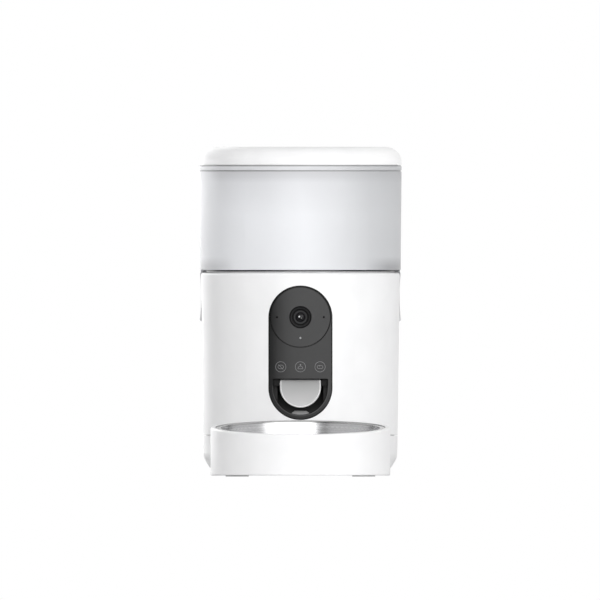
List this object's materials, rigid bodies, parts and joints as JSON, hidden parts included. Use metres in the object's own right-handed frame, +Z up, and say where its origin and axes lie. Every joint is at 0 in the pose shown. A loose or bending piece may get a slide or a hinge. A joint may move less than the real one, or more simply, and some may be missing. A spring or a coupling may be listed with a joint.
{
  "type": "automatic pet feeder with camera",
  "caption": "Automatic dry food feeder with camera: lift-off lid and hopper, geared paddle wheel, chute with swing flap, and a slide-in tray with a steel bowl.",
  "frame": {"origin": "centre of the bounding box on the surface that the feet stand on", "axes": "+Z up, -Y towards the bowl and camera side, +X to the right as seen from the front"},
  "size_m": [0.1938, 0.3342, 0.3152],
  "materials": {
    "white_plastic": "satin moulded",
    "black_plastic": "matte moulded",
    "inner_plastic": "moulded",
    "dark_grey_plastic": "moulded",
    "panel_gloss": "polished",
    "camera_gloss": "polished",
    "lens_black": "matte",
    "lens_glass": "polished",
    "circuit_board": "solder mask",
    "light_pipe": "clear",
    "gear_case_plastic": "moulded",
    "bush_brass": "turned",
    "screw_steel": "plated",
    "pin_steel": "ground",
    "pin_black": "blackened",
    "spring_steel": "nickel plated",
    "motor_steel": "zinc plated",
    "inlet_steel": "plated",
    "speaker_black": "matte",
    "frosted_plastic": "frosted translucent",
    "wheel_plastic": "moulded",
    "soft_rubber": "soft",
    "gear_plastic": "moulded",
    "flap_grey": "satin",
    "grey_rubber": "matte",
    "bowl_steel": "polished stainless"
  },
  "bodies": {
    "body": {"base": "white_plastic", "body_feet": "grey_rubber", "battery_cover": "white_plastic", "cover_screw": "screw_steel", "battery_contacts": "spring_steel", "body_shell": "white_plastic", "latch_pocket_left": "white_plastic", "latch_pocket_right": "white_plastic", "body_deck": "white_plastic", "hopper_well": "inner_plastic", "chute": "black_plastic", "outlet_lip": "dark_grey_plastic", "flap_pin": "pin_black", "front_panel": "panel_gloss", "camera_disc": "camera_gloss", "lens_hood": "lens_black", "lens": "lens_glass", "lens_barrel": "lens_black", "camera_board": "circuit_board", "status_light": "light_pipe", "touch_board": "circuit_board", "gearbox_case": "gear_case_plastic", "gearbox_cover": "gear_case_plastic", "output_bush": "bush_brass", "gearbox_screws": "screw_steel", "drive_motor": "motor_steel", "idler_axle": "pin_steel", "main_board": "circuit_board", "board_screws": "screw_steel", "power_inlet": "inlet_steel", "reset_switch": "black_plastic", "speaker": "speaker_black", "base_screws": "screw_steel"},
    "hopper": {"hopper": "frosted_plastic", "hopper_funnel": "frosted_plastic", "dosing_chamber": "frosted_plastic", "latch_pins": "pin_steel", "food_baffle": "wheel_plastic"},
    "wheel": {"paddle_wheel": "wheel_plastic", "wheel_wipers": "soft_rubber", "stirrer": "wheel_plastic"},
    "latch_left": {"latch_left": "white_plastic"},
    "latch_right": {"latch_right": "white_plastic"},
    "output_drive": {"output_gear": "gear_plastic", "drive_coupling": "gear_plastic"},
    "idler": {"idler_gear": "gear_plastic"},
    "pinion": {"motor_pinion": "bush_brass"},
    "lid": {"lid": "white_plastic", "lid_seal": "soft_rubber", "desiccant_box": "inner_plastic"},
    "desiccant_cover": {"desiccant_cover": "inner_plastic"},
    "flap": {"flap": "flap_grey"},
    "reset_button": {"reset_button": "flap_grey"},
    "tray": {"bowl_tray": "white_plastic", "tray_feet": "grey_rubber"},
    "bowl": {"bowl": "bowl_steel"}
  },
  "joints": [
    {"name": "hopper_lift", "type": "slide", "parent": "body", "child": "hopper", "axis": [0, 0, 1], "range_m": [0, 0.1]},
    {"name": "lid_lift", "type": "slide", "parent": "hopper", "child": "lid", "axis": [0, 0, 1], "range_m": [0, 0.06]},
    {"name": "desiccant_cover_twist", "type": "hinge", "parent": "lid", "child": "desiccant_cover", "pos_m": [0, 0.0982, 0.292], "axis": [0, 0, 1], "range_deg": [0, 35]},
    {"name": "latch_right_swing", "type": "hinge", "parent": "hopper", "child": "latch_right", "pos_m": [0.0924, 0.11055, 0.1934], "axis": [0, -1, 0], "range_deg": [0, 70]},
    {"name": "latch_left_swing", "type": "hinge", "parent": "hopper", "child": "latch_left", "pos_m": [-0.0924, 0.11055, 0.1934], "axis": [0, 1, 0], "range_deg": [0, 70]},
    {"name": "wheel_spin", "type": "hinge", "parent": "hopper", "child": "wheel", "pos_m": [0, 0.0842, 0.12], "axis": [0, 0, 1], "continuous": true},
    {"name": "output_spin", "type": "hinge", "parent": "body", "child": "output_drive", "pos_m": [0, 0.0842, 0.1], "axis": [0, 0, 1], "continuous": true},
    {"name": "idler_spin", "type": "hinge", "parent": "body", "child": "idler", "pos_m": [0, 0.1082, 0.096], "axis": [0, 0, 1], "continuous": true},
    {"name": "pinion_spin", "type": "hinge", "parent": "body", "child": "pinion", "pos_m": [0, 0.1322, 0.092], "axis": [0, 0, 1], "continuous": true},
    {"name": "flap_swing", "type": "hinge", "parent": "body", "child": "flap", "pos_m": [0, 0.0133, 0.0892], "axis": [-1, 0, 0], "range_deg": [0, 60]},
    {"name": "reset_press", "type": "slide", "parent": "body", "child": "reset_button", "axis": [0, -1, 0], "range_m": [0, 0.001], "stiffness_N_per_m": 400},
    {"name": "tray_slide", "type": "slide", "parent": "body", "child": "tray", "axis": [0, -1, 0], "range_m": [0, 0.06]},
    {"name": "bowl_lift", "type": "slide", "parent": "tray", "child": "bowl", "axis": [0, -0.0801, 0.9968], "range_m": [0, 0.06]}
  ],
  "couplings": [
    {"joint": "output_spin", "follows": "wheel_spin", "ratio": 1},
    {"joint": "idler_spin", "follows": "wheel_spin", "ratio": -3},
    {"joint": "pinion_spin", "follows": "wheel_spin", "ratio": 9}
  ]
}
